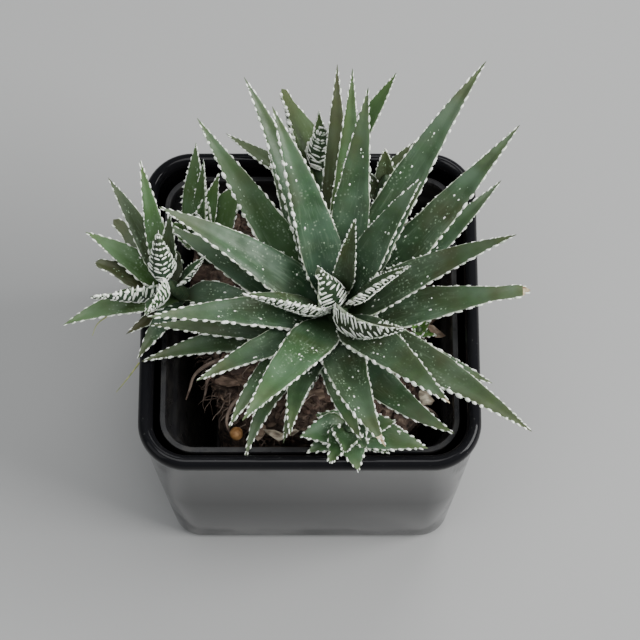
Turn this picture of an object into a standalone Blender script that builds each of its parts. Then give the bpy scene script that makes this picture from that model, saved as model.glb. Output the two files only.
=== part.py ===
"""Potted zebra haworthia: one large rosette and its offsets in a square nursery pot inside a cachepot.

Metres, +Z up. The origin is the middle of the cachepot's foot, on the surface it stands on.
+X is the right of the pot and +Y is its back.
"""

import math
from collections import namedtuple

import bmesh
import bpy
from mathutils import Matrix, Vector

# The two pots
CACHEPOT_SIDE = 0.100
CACHEPOT_HEIGHT = 0.096
CACHEPOT_FOOT_SIDE = 0.089
CACHEPOT_WALL = 0.0030
CACHEPOT_FLOOR = 0.0035
CACHEPOT_LIP = 0.0044
CACHEPOT_CORNER = 0.0145
NURSERY_SIDE = 0.088
NURSERY_FOOT_SIDE = 0.066
NURSERY_WALL = 0.0013
NURSERY_CORNER = 0.0105
RIM_DROP = 0.0055
RIM_BAND = 0.009
DRAIN_HOLE = 0.007
FIT_GAP = 0.0003

# The plant
MIX_TOP = 0.080
LEAF_WIDTH = 0.0122
LEAF_BROADEST = 0.24
LEAF_NECK = 0.50
KEEL = 0.60
LEAF_STEPS = 9
BLUNT_SHARE = 0.42
STEM_SIDES = 14
CORNER_STEPS = 5

Finish = namedtuple("Finish", "name colour roughness")
LEAF_GREEN = Finish("leaf_green", (0.055, 0.115, 0.055), 0.42)
STEM_GREEN = Finish("stem_green", (0.11, 0.13, 0.06), 0.60)
GLOSSY_BLACK = Finish("glossy_black", (0.012, 0.012, 0.014), 0.08)
MATT_BLACK = Finish("matt_black", (0.016, 0.016, 0.017), 0.38)
MIX_BROWN = Finish("mix_brown", (0.075, 0.045, 0.030), 0.95)

# A leaf leaves its stem towards azimuth, which turns by bend along the leaf. It starts at rise
# degrees above the level and ends at droop. Roll turns its upper face about its own length, cup
# lifts its margins, and a blunt leaf has lost its tip.
Leaf = namedtuple(
    "Leaf",
    "azimuth length height rise droop bend width roll cup blunt",
    defaults=(0, 1.0, 0, 0.12, False),
)
# A rosette's stem runs from foot to crown. A leaf's height is its place on the stem above foot.
Rosette = namedtuple("Rosette", "foot crown radius leaves")

MOTHER = Rosette(
    foot=(0.008, -0.0055, 0.0785),
    crown=(0.008, -0.0055, 0.1125),
    radius=0.0036,
    leaves=(
        Leaf(219, 0.047, 0.0074, 24, -12, bend=38, width=0.58),
        Leaf(237, 0.037, 0.0105, 19, -2, bend=22, width=0.56),
        Leaf(187, 0.056, 0.0095, 24, -4, bend=12, width=0.85),
        Leaf(340, 0.047, 0.0085, 25, 3, bend=-8, width=0.80),
        Leaf(187, 0.053, 0.0133, 23, 10, bend=-4, width=0.80),
        Leaf(266, 0.040, 0.0128, 31, 12, bend=30, width=0.80),
        Leaf(112, 0.062, 0.0085, 34, 24, width=0.80),
        Leaf(91, 0.076, 0.0120, 42, 35, bend=-2, width=0.85),
        Leaf(34, 0.062, 0.0115, 27, 17, bend=9, width=0.85),
        Leaf(298, 0.049, 0.0110, 20, 16, bend=30, width=0.90),
        Leaf(157, 0.056, 0.0155, 27, 14, bend=-6, width=0.90),
        Leaf(214, 0.047, 0.0151, 32, 2, bend=33, width=0.70),
        Leaf(5, 0.056, 0.0155, 32, 13, bend=-5, width=1.0, blunt=True),
        Leaf(238, 0.045, 0.0175, 36, 17, bend=30, width=0.78),
        Leaf(84, 0.075, 0.0145, 49, 35, bend=4, width=0.85),
        Leaf(213, 0.052, 0.0203, 38, 23, bend=6, width=0.85, roll=12),
        Leaf(110, 0.076, 0.0200, 56, 27, bend=12, width=0.90),
        Leaf(59, 0.084, 0.0225, 47, 23, bend=-9),
        Leaf(134, 0.071, 0.0175, 44, 27, bend=-7),
        Leaf(323, 0.072, 0.0195, 38, 10, bend=-5),
        Leaf(189, 0.058, 0.0220, 43, 13, bend=4, width=0.85),
        Leaf(36, 0.077, 0.0180, 42, 27, bend=8),
        Leaf(157, 0.061, 0.0245, 50, 18, bend=4),
        Leaf(273, 0.052, 0.0225, 39, 16, bend=26, width=1.05),
        Leaf(80, 0.068, 0.0250, 58, 40),
        Leaf(12, 0.061, 0.0242, 52, 28, bend=-4, width=0.90),
        Leaf(111, 0.064, 0.0285, 64, 33, bend=5),
        Leaf(240, 0.057, 0.0255, 48, 20, bend=-2, width=1.05),
        Leaf(306, 0.056, 0.0265, 49, 21, bend=4, width=1.05),
        Leaf(49, 0.050, 0.0295, 66, 41, bend=-8, width=0.88),
        Leaf(198, 0.038, 0.0308, 58, 44, bend=-4, width=0.70, roll=22, cup=0.25),
        Leaf(71, 0.032, 0.0325, 75, 65, width=0.52, cup=0.35),
        Leaf(2, 0.031, 0.0340, 66, 50, width=0.62, roll=-42, cup=0.3),
        Leaf(294, 0.0315, 0.0325, 54, 33, bend=62, width=0.92, roll=-62, cup=0.35),
        Leaf(325, 0.0175, 0.0345, 100, 128, width=0.62, roll=25, cup=0.7, blunt=True),
    ),
)

LEFT_PUP = Rosette(
    foot=(-0.031, 0.004, 0.0785),
    crown=(-0.042, 0.0015, 0.1115),
    radius=0.0024,
    leaves=(
        Leaf(216, 0.019, 0.0165, 19, -4, width=0.42),
        Leaf(238, 0.022, 0.0190, 25, -20, width=0.50),
        Leaf(197, 0.035, 0.0202, 36, -10, bend=8, width=0.72),
        Leaf(354, 0.022, 0.0205, 26, -2, bend=-8, width=0.66),
        Leaf(132, 0.027, 0.0207, 35, 10, bend=8, width=0.60, blunt=True),
        Leaf(166, 0.023, 0.0238, 33, 11, bend=3, width=0.66, blunt=True),
        Leaf(121, 0.034, 0.0286, 42, 19, bend=5, width=0.58),
        Leaf(152, 0.028, 0.0265, 38, 10, bend=2, width=0.68),
        Leaf(206, 0.024, 0.0282, 37, 20, bend=-14, width=0.48, roll=34, blunt=True),
        Leaf(106, 0.036, 0.0303, 54, 29, bend=-4, width=0.52),
        Leaf(18, 0.016, 0.0285, 58, 57, width=0.42, roll=-35, cup=0.3),
        Leaf(80, 0.022, 0.0322, 66, 52, bend=4, width=0.42, cup=0.3),
        Leaf(256, 0.0150, 0.0325, 53, 22, bend=-10, width=0.48, roll=55, cup=0.35, blunt=True),
        Leaf(275, 0.021, 0.0336, 96, 124, width=0.62, cup=0.5),
    ),
)

UPPER_PUP = Rosette(
    foot=(-0.031, 0.0215, 0.0785),
    crown=(-0.0345, 0.0245, 0.094),
    radius=0.0024,
    leaves=(
        Leaf(330, 0.012, 0.0080, 46, 30, width=0.50),
        Leaf(160, 0.013, 0.0085, 46, 34, width=0.46),
        Leaf(98, 0.031, 0.0095, 50, 38, bend=-13, width=0.66, roll=-35),
        Leaf(84, 0.026, 0.0110, 56, 44, bend=-2, width=0.46, roll=-50),
        Leaf(62, 0.022, 0.0120, 56, 38, bend=4, width=0.42, roll=35),
        Leaf(44, 0.023, 0.0085, 44, 28, bend=14, width=0.80),
        Leaf(70, 0.012, 0.0148, 80, 96, width=0.44, cup=0.5),
    ),
)

TOP_PUP = Rosette(
    foot=(0.003, 0.031, 0.0785),
    crown=(0.003, 0.041, 0.109),
    radius=0.0030,
    leaves=(
        Leaf(159, 0.032, 0.0185, 24, 3, bend=-13, width=0.50),
        Leaf(185, 0.012, 0.0190, 40, 20, width=0.60),
        Leaf(350, 0.012, 0.0190, 40, 15, width=0.60),
        Leaf(35, 0.044, 0.0210, 52, 46, bend=14, width=0.74),
        Leaf(122, 0.031, 0.0230, 58, 40, width=0.92, roll=40, blunt=True),
        Leaf(92, 0.022, 0.0270, 75, 62, width=0.45),
        Leaf(256, 0.020, 0.0290, 92, 116, width=0.76, cup=0.4),
    ),
)

RIGHT_PUP = Rosette(
    foot=(0.019, 0.029, 0.0785),
    crown=(0.023, 0.038, 0.104),
    radius=0.0024,
    leaves=(
        Leaf(128, 0.010, 0.0160, 40, 19, width=0.50),
        Leaf(34, 0.023, 0.0170, 36, 10, width=0.42),
        Leaf(53, 0.017, 0.0200, 46, 24, bend=-5, width=0.58),
        Leaf(92, 0.012, 0.0220, 65, 50, width=0.48),
    ),
)

FRONT_PUP = Rosette(
    foot=(0.011, -0.030, 0.0785),
    crown=(0.0115, -0.0395, 0.0985),
    radius=0.0024,
    leaves=(
        Leaf(219, 0.014, 0.0150, 22, -10, bend=-10, width=0.58),
        Leaf(320, 0.014, 0.0150, 22, -10, bend=10, width=0.52),
        Leaf(339, 0.024, 0.0155, 27, -5, bend=4, width=0.66),
        Leaf(164, 0.010, 0.0150, 30, 10, width=0.50),
        Leaf(278, 0.0140, 0.0160, 32, -15, bend=6, width=0.60),
        Leaf(196, 0.015, 0.0160, 35, 0, width=0.66),
        Leaf(357, 0.014, 0.0160, 36, 8, bend=8, width=0.60),
        Leaf(244, 0.014, 0.0165, 38, 10, bend=3, width=0.58, cup=0.4, blunt=True),
        Leaf(300, 0.011, 0.0175, 46, 34, width=0.52, cup=0.4, blunt=True),
        Leaf(262, 0.012, 0.0180, 50, 36, width=0.60, cup=0.4, blunt=True),
    ),
)

SEEDLING = Rosette(
    foot=(0.032, -0.003, 0.0785),
    crown=(0.0325, -0.0035, 0.085),
    radius=0.0015,
    leaves=(
        Leaf(336, 0.006, 0.004, 35, 20, width=0.28),
        Leaf(36, 0.005, 0.0045, 40, 30, width=0.28),
        Leaf(275, 0.006, 0.005, 60, 50, width=0.26),
        Leaf(150, 0.005, 0.0055, 62, 52, width=0.26),
    ),
)


def clear_scene():
    for obj in list(bpy.data.objects):
        bpy.data.objects.remove(obj, do_unlink=True)


def material(finish):
    made = bpy.data.materials.get(finish.name) or bpy.data.materials.new(finish.name)
    made.use_nodes = True
    shader = made.node_tree.nodes["Principled BSDF"]
    shader.inputs["Base Color"].default_value = (*finish.colour, 1.0)
    shader.inputs["Roughness"].default_value = finish.roughness
    shader.inputs["Metallic"].default_value = 0.0
    return made


def object_from(bm, name, finish, smooth_angle=40.0):
    bmesh.ops.recalc_face_normals(bm, faces=bm.faces)
    mesh = bpy.data.meshes.new(name)
    bm.to_mesh(mesh)
    bm.free()
    mesh.shade_smooth()
    mesh.set_sharp_from_angle(angle=math.radians(smooth_angle))
    mesh.materials.append(material(finish))
    obj = bpy.data.objects.new(name, mesh)
    bpy.context.scene.collection.objects.link(obj)
    return obj


def skin(bm, rings, close_start=True, apex=None):
    """Faces over rings of points. The last ring meets the apex, or gets a cap."""
    loops = [[bm.verts.new(point) for point in ring] for ring in rings]
    for lower, upper in zip(loops, loops[1:]):
        for i, vertex in enumerate(lower):
            j = (i + 1) % len(lower)
            bm.faces.new((vertex, lower[j], upper[j], upper[i]))
    if close_start:
        bm.faces.new(list(reversed(loops[0])))
    if apex is None:
        bm.faces.new(loops[-1])
        return
    tip = bm.verts.new(apex)
    for i, vertex in enumerate(loops[-1]):
        bm.faces.new((vertex, loops[-1][(i + 1) % len(loops[-1])], tip))


def square_ring(side, corner, z):
    """A square outline with round corners, as a level ring of points."""
    reach = side / 2 - corner
    ring = []
    for quarter in range(4):
        turned = Matrix.Rotation(math.radians(90 * quarter), 3, "Z")
        centre = turned @ Vector((reach, reach, 0))
        for step in range(CORNER_STEPS + 1):
            angle = math.radians(90 * quarter + 90 * step / CORNER_STEPS)
            ring.append(centre + Vector((corner * math.cos(angle), corner * math.sin(angle), z)))
    return ring


def make_cachepot():
    """The outer pot: a tapered square cup with a rolled lip and a rounded foot."""
    height = CACHEPOT_HEIGHT
    lip_corner = CACHEPOT_CORNER
    inner_side = CACHEPOT_SIDE - 2 * CACHEPOT_WALL
    outside = [
        (CACHEPOT_FOOT_SIDE - 0.008, 0.006, 0.0),
        (CACHEPOT_FOOT_SIDE - 0.0028, 0.0082, 0.0009),
        (CACHEPOT_FOOT_SIDE, 0.0095, 0.0036),
        (CACHEPOT_SIDE - 0.0012, lip_corner - 0.0006, height - 0.0060),
        (CACHEPOT_SIDE, lip_corner, height - 0.0035),
        (CACHEPOT_SIDE - 0.0006, lip_corner - 0.0003, height - 0.0010),
        (CACHEPOT_SIDE - 0.0026, lip_corner - 0.0013, height),
        (CACHEPOT_SIDE - 2 * CACHEPOT_LIP + 0.0026, lip_corner - 0.0031, height),
        (CACHEPOT_SIDE - 2 * CACHEPOT_LIP + 0.0004, lip_corner - 0.0042, height - 0.0012),
        (inner_side - 0.0030, lip_corner - CACHEPOT_LIP, height - 0.0045),
    ]
    inner_foot = CACHEPOT_FOOT_SIDE - 2 * CACHEPOT_WALL
    inside = [
        (inner_foot, 0.0068, CACHEPOT_FLOOR + 0.0030),
        (inner_foot - 0.0045, 0.0050, CACHEPOT_FLOOR),
    ]
    bm = bmesh.new()
    skin(bm, [square_ring(*ring) for ring in outside + inside])
    return object_from(bm, "cachepot", GLOSSY_BLACK, smooth_angle=50.0)


def make_nursery_pot():
    """The thin inner pot: a stepped rim, tapered walls and a floor with drainage holes."""
    top = CACHEPOT_HEIGHT - RIM_DROP
    floor = CACHEPOT_FLOOR + FIT_GAP
    corner = NURSERY_CORNER
    band_side = NURSERY_SIDE - 0.0016
    wall_top_side = NURSERY_SIDE - 0.0062
    thickness = 2 * NURSERY_WALL
    outside = [
        (NURSERY_FOOT_SIDE, 0.006, floor),
        (wall_top_side, corner - 0.0031, top - RIM_BAND),
        (band_side, corner - 0.0008, top - RIM_BAND + 0.0008),
        (band_side, corner - 0.0008, top - 0.0014),
        (NURSERY_SIDE, corner, top - 0.0012),
        (NURSERY_SIDE, corner, top),
    ]
    inside = [
        (NURSERY_SIDE - 0.0040, corner - 0.0020, top),
        (NURSERY_SIDE - 0.0044, corner - 0.0022, top - 0.0018),
        (NURSERY_SIDE - 0.0088, corner - 0.0044, top - RIM_BAND + 0.0004),
        (wall_top_side - thickness - 0.0010, corner - 0.0050, top - RIM_BAND - 0.0012),
        (NURSERY_FOOT_SIDE - thickness, 0.0047, floor + 2 * NURSERY_WALL),
    ]
    bm = bmesh.new()
    skin(bm, [square_ring(*ring) for ring in outside + inside])
    pot = object_from(bm, "nursery_pot", MATT_BLACK, smooth_angle=35.0)
    for index in range(4):
        drill_drain_hole(pot, index, floor)
    return pot


def drill_drain_hole(pot, index, floor):
    """One round drainage hole through the floor, on the diagonal of a quarter."""
    angle = math.radians(45 + 90 * index)
    spread = NURSERY_FOOT_SIDE * 0.36
    bm = bmesh.new()
    bmesh.ops.create_cone(
        bm, cap_ends=True, segments=12, radius1=DRAIN_HOLE / 2, radius2=DRAIN_HOLE / 2, depth=0.012
    )
    cutter = object_from(bm, f"drain_cutter_{index + 1}", MATT_BLACK)
    cutter.location = (spread * math.cos(angle), spread * math.sin(angle), floor)
    cutter.hide_render = True
    cutter.display_type = "WIRE"
    cut = pot.modifiers.new(f"drain_hole_{index + 1}", "BOOLEAN")
    cut.operation = "DIFFERENCE"
    cut.solver = "EXACT"
    cut.object = cutter


def mix_radius(angle, share):
    """How far the root ball reaches at this angle: a rounded square, slumped at the front left."""
    square = 1 / max(abs(math.cos(angle)), abs(math.sin(angle)))
    rounding = min(square, 1.27)
    slump = math.exp(-(((math.degrees(angle) - 222) / 24) ** 2))
    lumps = 0.03 * math.sin(5 * angle + 1.0) + 0.02 * math.sin(9 * angle + 0.4)
    return rounding * (1 - 0.27 * slump * share + lumps * share)


def make_potting_mix():
    """The root ball and bark mix, as a lumpy plug that stands on the inner pot's floor."""
    floor = CACHEPOT_FLOOR + 2 * FIT_GAP + 2 * NURSERY_WALL
    top_half = NURSERY_SIDE / 2 - 0.0080
    foot_half = NURSERY_FOOT_SIDE / 2 - NURSERY_WALL - 0.0015
    levels = [
        (0.0, 0.96, 0.0),
        (0.03, 1.0, 0.1),
        (0.55, 1.0, 0.6),
        (0.88, 1.0, 1.0),
        (0.975, 0.985, 1.0),
        (1.0, 0.95, 1.0),
    ]
    sides = 32
    bm = bmesh.new()
    rings = []
    for share, shrink, wobble in levels:
        z = floor + (MIX_TOP - floor) * share
        half = (foot_half + (top_half - foot_half) * share) * shrink
        ring = []
        for step in range(sides):
            angle = 2 * math.pi * step / sides
            reach = half * mix_radius(angle, wobble)
            ring.append(Vector((reach * math.cos(angle), reach * math.sin(angle), z)))
        rings.append(ring)
    skin(bm, rings)
    return object_from(bm, "potting_mix", MIX_BROWN, smooth_angle=60.0)


def stem_point(rosette, height):
    foot = Vector(rosette.foot)
    crown = Vector(rosette.crown)
    return foot.lerp(crown, height / (crown.z - foot.z))


def direction(azimuth, lift):
    return Vector(
        (
            math.cos(math.radians(lift)) * math.cos(math.radians(azimuth)),
            math.cos(math.radians(lift)) * math.sin(math.radians(azimuth)),
            math.sin(math.radians(lift)),
        )
    )


def leaf_share(leaf, along):
    """A leaf's width at this share of its length, as a share of its full width."""
    neck = LEAF_NECK + (1 - LEAF_NECK) * math.sin(min(1.0, along / LEAF_BROADEST) * math.pi / 2)
    taper = 1 - (max(0.0, along - LEAF_BROADEST) / (1 - LEAF_BROADEST)) ** 1.3
    return neck * max(taper, BLUNT_SHARE * 0.8 if leaf.blunt else 0.0)


def leaf_section(centre, tangent, azimuth, leaf, half_width):
    """One ring across a leaf: a dished upper face and a keeled underside."""
    side = Vector((-math.sin(math.radians(azimuth)), math.cos(math.radians(azimuth)), 0))
    side = Matrix.Rotation(math.radians(leaf.roll), 3, tangent) @ side
    up = tangent.cross(side)
    outline = (
        (-1.0, 0.0),
        (-0.58, -0.40),
        (0.0, -KEEL),
        (0.58, -0.40),
        (1.0, 0.0),
        (0.5, 0.05),
        (0.0, 0.0),
        (-0.5, 0.05),
    )
    return [
        centre + half_width * (across * side + (above + leaf.cup * across * across) * up)
        for across, above in outline
    ]


def leaf_rings(rosette, leaf, start):
    """The rings of a leaf and its apex. It starts this far from the middle of its stem."""
    centre = stem_point(rosette, leaf.height)
    centre = centre + start * direction(leaf.azimuth, 0)
    step = leaf.length / LEAF_STEPS
    rings = []
    for index in range(LEAF_STEPS + 1):
        along = index / LEAF_STEPS
        azimuth = leaf.azimuth + leaf.bend * along
        tangent = direction(azimuth, leaf.rise + (leaf.droop - leaf.rise) * along)
        half_width = LEAF_WIDTH / 2 * leaf.width * leaf_share(leaf, along)
        if index == LEAF_STEPS and not leaf.blunt:
            return rings, centre
        rings.append(leaf_section(centre, tangent, azimuth, leaf, half_width))
        middle = along + 0.5 / LEAF_STEPS
        lift = leaf.rise + (leaf.droop - leaf.rise) * middle
        centre = centre + step * direction(leaf.azimuth + leaf.bend * middle, lift)
    return rings, None


def make_leaf(name, rosette, leaf, start):
    rings, apex = leaf_rings(rosette, leaf, start)
    bm = bmesh.new()
    skin(bm, rings, apex=apex)
    return object_from(bm, name, LEAF_GREEN, smooth_angle=45.0)


def make_stem(name, rosette, foot_gap=0.0):
    """A short stem, from the mix to just above the youngest leaf's base."""
    foot = Vector(rosette.foot)
    crown = Vector(rosette.crown)
    foot.z = MIX_TOP + foot_gap
    rings = []
    for share, swell in ((0.0, 1.0), (0.5, 0.99), (0.95, 0.96)):
        centre = foot.lerp(crown, share)
        rings.append(
            [
                centre + rosette.radius * swell * direction(360 * i / STEM_SIDES, 0)
                for i in range(STEM_SIDES)
            ]
        )
    bm = bmesh.new()
    skin(bm, rings, apex=crown)
    return object_from(bm, name, STEM_GREEN, smooth_angle=60.0)


def make_rosette(name, rosette):
    """A rosette whose leaves and stem are separate. Its last leaf stands on the stem's tip."""
    make_stem(f"{name}_stem", rosette, foot_gap=FIT_GAP)
    for number, leaf in enumerate(rosette.leaves, start=1):
        on_tip = leaf is rosette.leaves[-1]
        start = 0.0 if on_tip else rosette.radius + FIT_GAP
        make_leaf(f"{name}_leaf_{number:02d}", rosette, leaf, start)


def make_joined_rosette(name, rosette):
    """A small offset, whose leaves are fused to its stem."""
    offset = make_stem(name, rosette, foot_gap=FIT_GAP)
    offset.data.materials[0] = material(LEAF_GREEN)
    for number, leaf in enumerate(rosette.leaves, start=1):
        blade = make_leaf(f"{name}_blade_{number}", rosette, leaf, rosette.radius * 0.3)
        blade.hide_render = True
        blade.display_type = "WIRE"
        join = offset.modifiers.new(f"join_blade_{number}", "BOOLEAN")
        join.operation = "UNION"
        join.solver = "EXACT"
        join.object = blade
    return offset


def main():
    clear_scene()
    make_cachepot()
    make_nursery_pot()
    make_potting_mix()
    make_rosette("mother", MOTHER)
    make_rosette("left_pup", LEFT_PUP)
    make_joined_rosette("upper_pup", UPPER_PUP)
    make_joined_rosette("top_pup", TOP_PUP)
    make_joined_rosette("right_pup", RIGHT_PUP)
    make_joined_rosette("front_pup", FRONT_PUP)
    make_joined_rosette("seedling", SEEDLING)


main()
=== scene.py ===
# %% [markdown]
# # A potted zebra haworthia
#
# This lesson builds a small succulent: one large rosette of pointed leaves and the offsets
# that grew up around it. It roots in a thin square nursery pot, and that pot stands inside a
# glossy square cachepot. The solids of the finished part are already there as a fixed frame.
# We load them, measure them, and then build each visible piece on top of them with finer
# shape and a real finish. Lengths are in metres, +Z is up and +Y is the back of the pot.

# %% Load the frame
import math
import random
from collections import namedtuple

import bmesh
import bpy
import numpy as np
from mathutils import Matrix, Vector, noise


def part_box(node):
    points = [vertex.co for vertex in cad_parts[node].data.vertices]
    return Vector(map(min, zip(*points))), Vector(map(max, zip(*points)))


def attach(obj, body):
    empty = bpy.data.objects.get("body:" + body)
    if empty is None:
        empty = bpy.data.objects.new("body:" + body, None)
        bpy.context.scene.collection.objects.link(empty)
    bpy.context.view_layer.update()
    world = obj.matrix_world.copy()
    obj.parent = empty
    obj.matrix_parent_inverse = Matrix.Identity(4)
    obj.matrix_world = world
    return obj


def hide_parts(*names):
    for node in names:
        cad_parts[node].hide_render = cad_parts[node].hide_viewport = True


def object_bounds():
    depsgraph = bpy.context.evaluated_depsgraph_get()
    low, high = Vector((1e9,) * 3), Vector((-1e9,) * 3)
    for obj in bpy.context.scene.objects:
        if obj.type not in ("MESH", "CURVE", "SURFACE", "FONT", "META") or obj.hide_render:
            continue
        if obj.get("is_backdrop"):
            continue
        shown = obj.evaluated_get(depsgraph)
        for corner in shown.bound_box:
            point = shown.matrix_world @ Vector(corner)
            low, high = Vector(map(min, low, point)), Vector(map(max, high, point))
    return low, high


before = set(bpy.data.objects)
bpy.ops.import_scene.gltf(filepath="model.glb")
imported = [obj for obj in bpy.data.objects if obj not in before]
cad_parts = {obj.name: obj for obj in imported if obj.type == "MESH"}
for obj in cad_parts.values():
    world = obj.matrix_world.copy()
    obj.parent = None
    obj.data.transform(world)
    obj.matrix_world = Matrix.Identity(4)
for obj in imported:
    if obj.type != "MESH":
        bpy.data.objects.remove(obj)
cad_box = [list(corner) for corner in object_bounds()]
print("nodes in the frame:", len(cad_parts))
print("box of the solids, mm:", [[round(v * 1000, 1) for v in corner] for corner in cad_box])

# %% [markdown]
# The pots and the mix take their places from the solids, so that a later change to the
# solids moves the fine pieces with them.

# %% Read the pots' boxes
cachepot_low, cachepot_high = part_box("cachepot")
nursery_low, nursery_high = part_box("nursery_pot")
mix_low, mix_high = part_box("potting_mix")
POT_HEIGHT = cachepot_high.z
POT_SIDE = cachepot_high.x - cachepot_low.x
NURSERY_SIDE = nursery_high.x - nursery_low.x
MIX_TOP = mix_high.z
print("cachepot", round(POT_SIDE * 1000), "mm wide, mix up to", round(MIX_TOP * 1000), "mm")

# %% [markdown]
# ## Node helpers
#
# A procedural material is a small machine of nodes. Making each node by hand takes four
# lines, so helpers add a node, set its sockets and join them. A value that is the same all
# over a surface is set on the shader's own socket.

# %% Helpers for materials
def new_material(name, colour, roughness, **sockets):
    made = bpy.data.materials.new(name)
    made.use_nodes = True
    shader = made.node_tree.nodes["Principled BSDF"]
    shader.inputs["Base Color"].default_value = (*colour, 1.0)
    shader.inputs["Roughness"].default_value = roughness
    for socket, value in sockets.items():
        shader.inputs[socket.replace("_", " ")].default_value = value
    return made, made.node_tree, shader


def add_node(tree, kind, **values):
    """A node with its settings. A name that is no setting is the name of an input socket."""
    made = tree.nodes.new("ShaderNode" + kind)
    for key, value in values.items():
        if hasattr(made, key):
            setattr(made, key, value)
        else:
            made.inputs[key.replace("_", " ")].default_value = value
    return made


def join(value, target):
    """Links an output to the target, or sets the target to a plain number or colour."""
    if isinstance(value, bpy.types.NodeSocket):
        target.id_data.links.new(value, target)
    else:
        target.default_value = (*value, 1.0) if isinstance(value, tuple) else value


# %% [markdown]
# Natural surfaces are never one flat colour. The next helpers give what all of them need:
# noise, a ramp that turns it into colours, a mix of two colours, and bumps. A socket knows
# its own node tree as id_data. Noise is given by the width of one blotch in metres, because
# that can be measured on a leaf.

# %% Noise, ramps and mixes
def blotches(tree, width, detail=3.0, stretch=(1, 1, 1)):
    mapping = add_node(tree, "Mapping", Scale=stretch)
    texture = add_node(tree, "TexNoise", Scale=1.0 / width, Detail=detail)
    join(add_node(tree, "TexCoord").outputs["Object"], mapping.inputs["Vector"])
    join(mapping.outputs["Vector"], texture.inputs["Vector"])
    return texture.outputs["Fac"]


def ramp(value, *stops):
    made = add_node(value.id_data, "ValToRGB")
    band = made.color_ramp
    while len(band.elements) < len(stops):
        band.elements.new(0.5)
    for element, (place, colour) in zip(band.elements, stops):
        element.position = place
        element.color = (*colour, 1.0) if isinstance(colour, tuple) else (colour,) * 3 + (1.0,)
    join(value, made.inputs["Fac"])
    return made.outputs["Color"]


def blend_colours(share, first, second, kind="MIX"):
    made = add_node(first.id_data, "Mix", data_type="RGBA", blend_type=kind)
    for index, value in ((0, share), (6, first), (7, second)):
        join(value, made.inputs[index])
    return made.outputs[2]


def product(first, second):
    made = add_node(first.id_data, "Math", operation="MULTIPLY")
    for index, value in enumerate((first, second)):
        join(value, made.inputs[index])
    return made.outputs[0]


def bumps(shader, height, depth, strength=1.0):
    made = add_node(height.id_data, "Bump", Strength=strength, Distance=depth)
    join(height, made.inputs["Height"])
    join(made.outputs["Normal"], shader.inputs["Normal"])


# %% [markdown]
# Most finishes of this plant and its pots are built alike, so one recipe makes them. Spots
# give the colour and gloss gives the roughness: each is the width of a blotch, its detail
# and the stops of a ramp. Grain is the width, detail, depth and strength of the bumps.

# %% A recipe for mottled finishes
def mottled(name, colour, roughness, spots, grain=None, gloss=None, **sockets):
    made, tree, shader = new_material(name, colour, roughness, **sockets)
    for socket, pattern in (("Base Color", spots), ("Roughness", gloss)):
        if pattern:
            width, detail, *stops = pattern
            shade = ramp(blotches(tree, width, detail), *stops)
            join(shade, shader.inputs[socket])
    if grain:
        width, detail, depth, strength = grain
        bumps(shader, blotches(tree, width, detail), depth, strength)
    print("finish made:", name)
    return made


# %% [markdown]
# ## The leaf skin
#
# A haworthia leaf is firm and a little waxy. It is darkest in the rosette's shade, and turns
# lighter and yellower towards its tip. A grey-blue painted sheen, which stands in for the sky's
# reflection, and a tan flush lie over it in patches, old leaves go olive brown and young ones
# are fresh green. The blade stores how far along and across each point is, so ramps follow the
# leaf itself and not the world around it.

# %% Leaf skin colours
LEAF_DARK = (0.008, 0.022, 0.010)
LEAF_MID = (0.020, 0.055, 0.024)
LEAF_LIGHT = (0.036, 0.084, 0.032)
LEAF_TIP = (0.085, 0.115, 0.045)
PAINTED_SHEEN = (0.105, 0.180, 0.120)
LEAF_OLD = (0.052, 0.048, 0.018)
LEAF_FRESH = (0.085, 0.190, 0.030)
LEAF_EDGE = (0.50, 0.56, 0.42)
LEAF_WINDOW = (0.230, 0.310, 0.210)
STORED = ("along", "across", "under", "age", "fresh")

leaf_skin, tree, shader = new_material(
    "leaf_skin", LEAF_MID, 0.46, Subsurface_Weight=0.06, Specular_IOR_Level=0.36,
    Subsurface_Radius=(0.0006, 0.0012, 0.0004),
)
along, across, under, age, fresh = (
    add_node(tree, "Attribute", attribute_name=label).outputs["Fac"] for label in STORED
)
skin_colour = ramp(along, (0.0, LEAF_DARK), (0.22, LEAF_MID), (0.70, LEAF_LIGHT), (1.0, LEAF_TIP))
mottle = ramp(blotches(tree, 0.0034, detail=5.0), (0.35, 0.0), (0.70, 1.0))
# painted sheen: grey-blue patches that stand in for the sky's reflection on the leaves
sheen_patches = ramp(blotches(tree, 0.0110, detail=2.0), (0.42, 0.0), (0.68, 1.0))
tan = ramp(blotches(tree, 0.0150, detail=5.0), (0.50, 0.0), (0.72, 0.55))
for share, colour in (
    (product(mottle, 0.45), LEAF_DARK),
    (tan, LEAF_OLD),
    (product(sheen_patches, 0.42), PAINTED_SHEEN),
    (age, LEAF_OLD),
    (fresh, LEAF_FRESH),
    # painted shade: the undersides are darkened towards LEAF_DARK
    (product(under, 0.55), LEAF_DARK),
):
    skin_colour = blend_colours(share, skin_colour, colour)
print("leaf skin nodes:", len(tree.nodes))

# %% [markdown]
# Pale windows run along the inner half of the upper face. They are narrow streaks, so their
# noise is built from the leaf's own along and across values. Between them lie tiny pale
# specks in patches. A worn pale line follows the margin, and fine pores roughen everything.

# %% Windows, specks, margin line and pores
grain_place = add_node(tree, "CombineXYZ")
for index, (value, scale) in enumerate(((along, 7.0), (across, 5.0), (age, 40.0))):
    join(product(value, scale), grain_place.inputs[index])
grain = add_node(tree, "TexNoise", Scale=1.6, Detail=4.0)
join(grain_place.outputs[0], grain.inputs["Vector"])
streaks = ramp(grain.outputs["Fac"], (0.52, 0.0), (0.66, 1.0))
inner_half = ramp(along, (0.10, 0.0), (0.22, 1.0), (0.45, 0.8), (0.72, 0.0))
upper_side = ramp(under, (0.0, 1.0), (0.4, 0.0))
window_share = product(product(streaks, inner_half), product(upper_side, 0.18))
skin_colour = blend_colours(window_share, skin_colour, LEAF_WINDOW)

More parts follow.
